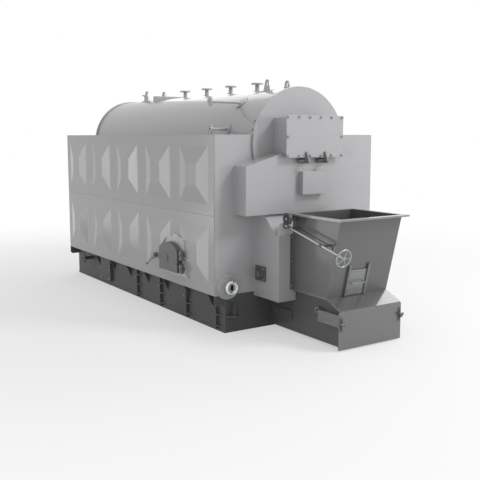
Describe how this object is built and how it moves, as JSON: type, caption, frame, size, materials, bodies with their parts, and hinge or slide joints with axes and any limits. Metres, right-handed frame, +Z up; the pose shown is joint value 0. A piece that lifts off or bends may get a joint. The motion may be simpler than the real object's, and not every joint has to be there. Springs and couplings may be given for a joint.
{
  "type": "industrial boiler",
  "caption": "Packaged coal-fired steam boiler with a panelled casing, a long drum on top and a chain-grate hopper at the front.",
  "frame": {"origin": "on the floor, under the middle of the casing", "axes": "+Z up, -Y towards the hopper and the front panel, +X to the right seen from the front"},
  "size_m": [2.68, 6.5381, 3.1249],
  "materials": {
    "light_paint": "semi-gloss light grey paint",
    "dark_paint": "semi-gloss dark grey paint",
    "base_paint": "dark grey paint",
    "bright_metal": "bare steel"
  },
  "bodies": {
    "boiler": {"base_box": "base_paint", "left_posts": "base_paint", "right_posts": "base_paint", "overhang_brackets": "base_paint", "base_covers": "base_paint", "tow_lugs": "base_paint", "blowdown_stub": "base_paint", "casing_core": "light_paint", "front_plate": "light_paint", "rear_plate": "light_paint", "top_plates": "light_paint", "left_upper_panels": "light_paint", "left_lower_panels": "light_paint", "right_upper_panels": "light_paint", "right_lower_panels": "light_paint", "drum_shell": "light_paint", "drum_front_head": "light_paint", "drum_rear_head": "light_paint", "steam_nozzles": "light_paint", "vent_nozzle": "light_paint", "gauge_stubs": "light_paint", "lifting_lugs": "light_paint", "saddle_beam": "light_paint", "flue_outlet": "light_paint", "smoke_box": "light_paint", "smoke_box_hatch": "light_paint", "upper_box": "light_paint", "upper_cover": "light_paint", "cover_hooks": "light_paint", "header_ends": "light_paint", "grate_housing": "light_paint", "housing_ears": "light_paint", "housing_hatches": "dark_paint", "grate_side_plates": "dark_paint", "grate_deck": "dark_paint", "apron": "dark_paint", "front_panel": "dark_paint", "tension_guards": "dark_paint", "tension_clamps": "bright_metal", "hopper": "dark_paint", "hopper_rim": "dark_paint", "gate_guides": "dark_paint", "gear_brackets": "dark_paint", "door_frame": "light_paint", "ash_frame": "dark_paint"},
    "side_door": {"side_door": "dark_paint"},
    "door_latch": {"door_latch": "dark_paint"},
    "slide_gate": {"slide_gate": "dark_paint"},
    "hand_shaft": {"hand_shaft": "bright_metal", "handwheel": "bright_metal"},
    "cross_shaft": {"cross_shaft": "bright_metal", "worm_wheel": "dark_paint"},
    "ash_door": {"ash_door": "dark_paint"}
  },
  "joints": [
    {"name": "side_door_hinge", "type": "hinge", "parent": "boiler", "child": "side_door", "pos_m": [-1.328, -1.733, 0.8], "axis": [0, 0, 1], "range_deg": [0, 110]},
    {"name": "door_latch_turn", "type": "hinge", "parent": "side_door", "child": "door_latch", "pos_m": [-1.352, -1.08, 0.8], "axis": [1, 0, 0], "range_deg": [0, 60]},
    {"name": "slide_gate_lift", "type": "slide", "parent": "boiler", "child": "slide_gate", "axis": [0, -0.241, 0.9705], "range_m": [0, 0.18]},
    {"name": "cross_shaft_turn", "type": "hinge", "parent": "boiler", "child": "cross_shaft", "pos_m": [0, -2.966, 1.417], "axis": [1, 0, 0], "continuous": true},
    {"name": "hand_shaft_turn", "type": "hinge", "parent": "boiler", "child": "hand_shaft", "pos_m": [-0.595, -2.94532, 1.33249], "axis": [0, 0.9713, 0.2377], "continuous": true},
    {"name": "ash_door_hinge", "type": "hinge", "parent": "boiler", "child": "ash_door", "pos_m": [-0.429, -2.528, 0.2], "axis": [0, 0, -1], "range_deg": [0, 100]}
  ],
  "couplings": [
    {"joint": "cross_shaft_turn", "follows": "hand_shaft_turn", "ratio": 0.027778}
  ]
}
